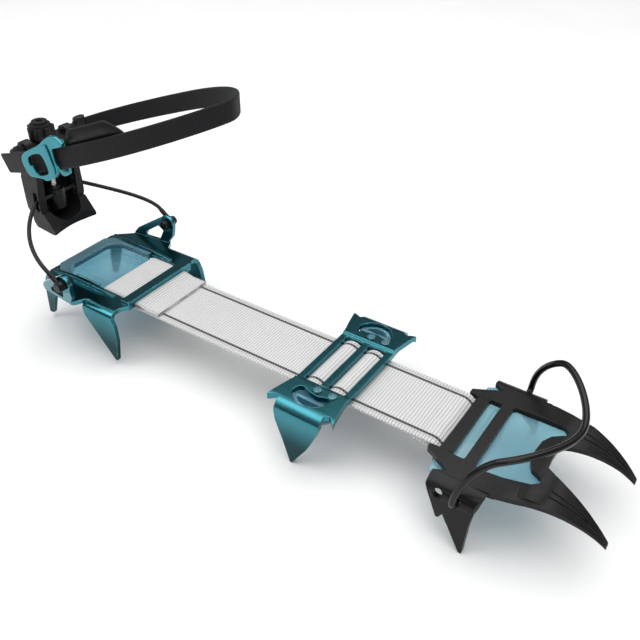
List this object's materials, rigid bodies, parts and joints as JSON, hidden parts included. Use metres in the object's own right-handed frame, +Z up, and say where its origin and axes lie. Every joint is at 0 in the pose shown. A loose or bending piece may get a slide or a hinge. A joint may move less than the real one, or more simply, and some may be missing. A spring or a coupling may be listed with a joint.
{
  "type": "crampon",
  "caption": "Strap-linked crampon: front frame with toe bail, middle and heel frames with downward points, and a heel lever on a cable with an ankle strap.",
  "frame": {"origin": "centre of the middle frame's centre bar, on its top face, where the boot's sole rests", "axes": "+X from heel to toe, +Y to the wearer's left, +Z up out of the sole's level"},
  "size_m": [0.3543, 0.0939, 0.1558],
  "materials": {
    "black_steel": "satin black coating",
    "teal_alloy": "satin anodised teal",
    "ice_plastic": "translucent, smooth",
    "dark_ice_plastic": "translucent, smooth",
    "white_webbing": "ribbed white webbing with dark edge stripes",
    "black_webbing": "fine ribbed black webbing",
    "black_plastic": "fine matt texture",
    "black_cable": "sheathed cable",
    "steel": "brushed",
    "dark_metal": "black plated"
  },
  "bodies": {
    "strap": {"linking_strap_front": "white_webbing", "front_strap_rod": "steel"},
    "front": {"front_frame": "black_steel", "front_antiball_plate": "ice_plastic"},
    "bail": {"toe_bail": "black_steel"},
    "mid": {"mid_frame": "teal_alloy", "mid_antiball_plate": "ice_plastic"},
    "strap_rear": {"linking_strap_rear": "white_webbing"},
    "heel": {"heel_frame": "teal_alloy", "heel_antiball_plate": "dark_ice_plastic", "linking_strap_fold": "white_webbing", "strap_lock_bar": "dark_metal", "cable_pivot_bolts": "dark_metal", "cable_pivot_caps": "dark_metal"},
    "cable": {"heel_cable": "black_cable", "cable_eyes": "dark_metal"},
    "carrier": {"cable_carrier": "dark_metal"},
    "lever": {"lever_body": "black_plastic", "strap_anchor_pins": "steel"},
    "screw": {"height_screw": "steel", "thumb_wheel": "black_plastic", "screw_clip": "steel"},
    "ankle": {"ankle_strap": "black_webbing", "ankle_strap_short": "black_webbing", "strap_buckle": "teal_alloy", "strap_tab": "black_plastic", "strap_keeper": "black_plastic"}
  },
  "joints": [
    {"name": "front_fold", "type": "hinge", "parent": "strap", "child": "front", "pos_m": [0.0642, 0, -0.0103], "axis": [0, 1, 0], "range_deg": [-8, 110]},
    {"name": "bail_swing", "type": "hinge", "parent": "front", "child": "bail", "pos_m": [0.0804, 0, -0.0093], "axis": [0, -1, 0], "range_deg": [-28, 96]},
    {"name": "mid_slide", "type": "slide", "parent": "strap", "child": "mid", "axis": [1, 0, 0], "range_m": [-0.02, 0.02]},
    {"name": "strap_flex", "type": "hinge", "parent": "strap", "child": "strap_rear", "pos_m": [-0.0703, 0, -0.0047], "axis": [0, -1, 0], "range_deg": [-15, 90]},
    {"name": "length_slide", "type": "slide", "parent": "strap_rear", "child": "heel", "axis": [1, 0, 0], "range_m": [-0.009, 0.009]},
    {"name": "cable_swing", "type": "hinge", "parent": "heel", "child": "cable", "pos_m": [-0.1563, 0, 0.0117], "axis": [0, 1, 0], "range_deg": [-20, 45]},
    {"name": "lever_tilt", "type": "hinge", "parent": "cable", "child": "carrier", "pos_m": [-0.2008, 0, 0.0372], "axis": [0, 1, 0], "range_deg": [-40, 30]},
    {"name": "lever_height", "type": "slide", "parent": "carrier", "child": "lever", "axis": [0, 0, 1], "range_m": [-0.004, 0.004]},
    {"name": "screw_turn", "type": "hinge", "parent": "lever", "child": "screw", "pos_m": [-0.204, 0, 0.0701], "axis": [0, 0, 1], "range_deg": [-1441, 1441]},
    {"name": "ankle_swing", "type": "hinge", "parent": "lever", "child": "ankle", "pos_m": [-0.2008, 0, 0.0701], "axis": [0, 1, 0], "range_deg": [-25, 30]}
  ],
  "couplings": [
    {"joint": "screw_turn", "follows": "lever_height", "rad_per_m": 6283.2}
  ]
}
